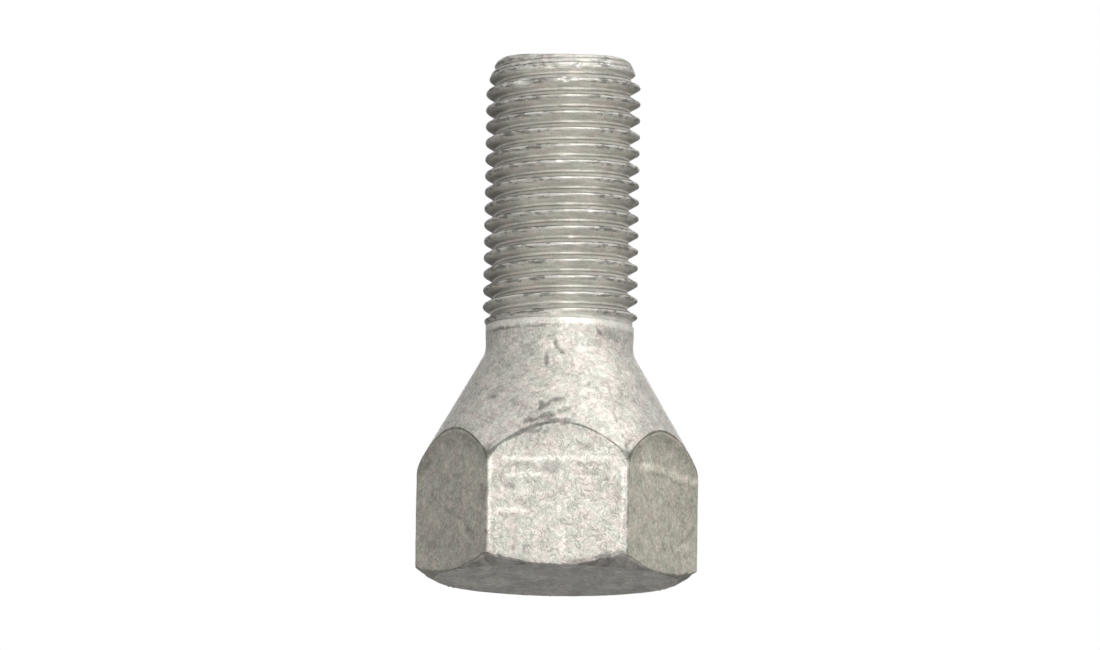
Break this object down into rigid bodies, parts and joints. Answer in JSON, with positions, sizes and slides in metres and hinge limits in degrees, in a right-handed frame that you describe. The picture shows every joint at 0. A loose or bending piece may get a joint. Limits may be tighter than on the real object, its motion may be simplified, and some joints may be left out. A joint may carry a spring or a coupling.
{
  "type": "wheel bolt",
  "caption": "One-piece wheel bolt with a hexagon head, a conical seat running up to a plain neck, and a rolled fine-pitch thread.",
  "frame": {"origin": "centre of the hexagon head's end face, on which the bolt stands", "axes": "+Z along the bolt's axis from the head to the thread's tip, -Y through the middle of one flat of the hexagon, +X through one of its corners"},
  "size_m": [0.0254, 0.0222, 0.0474],
  "materials": {
    "coated_steel": "matt zinc-flake coat over forged steel"
  },
  "bodies": {
    "root": {"wheel_bolt": "coated_steel"}
  },
  "joints": []
}
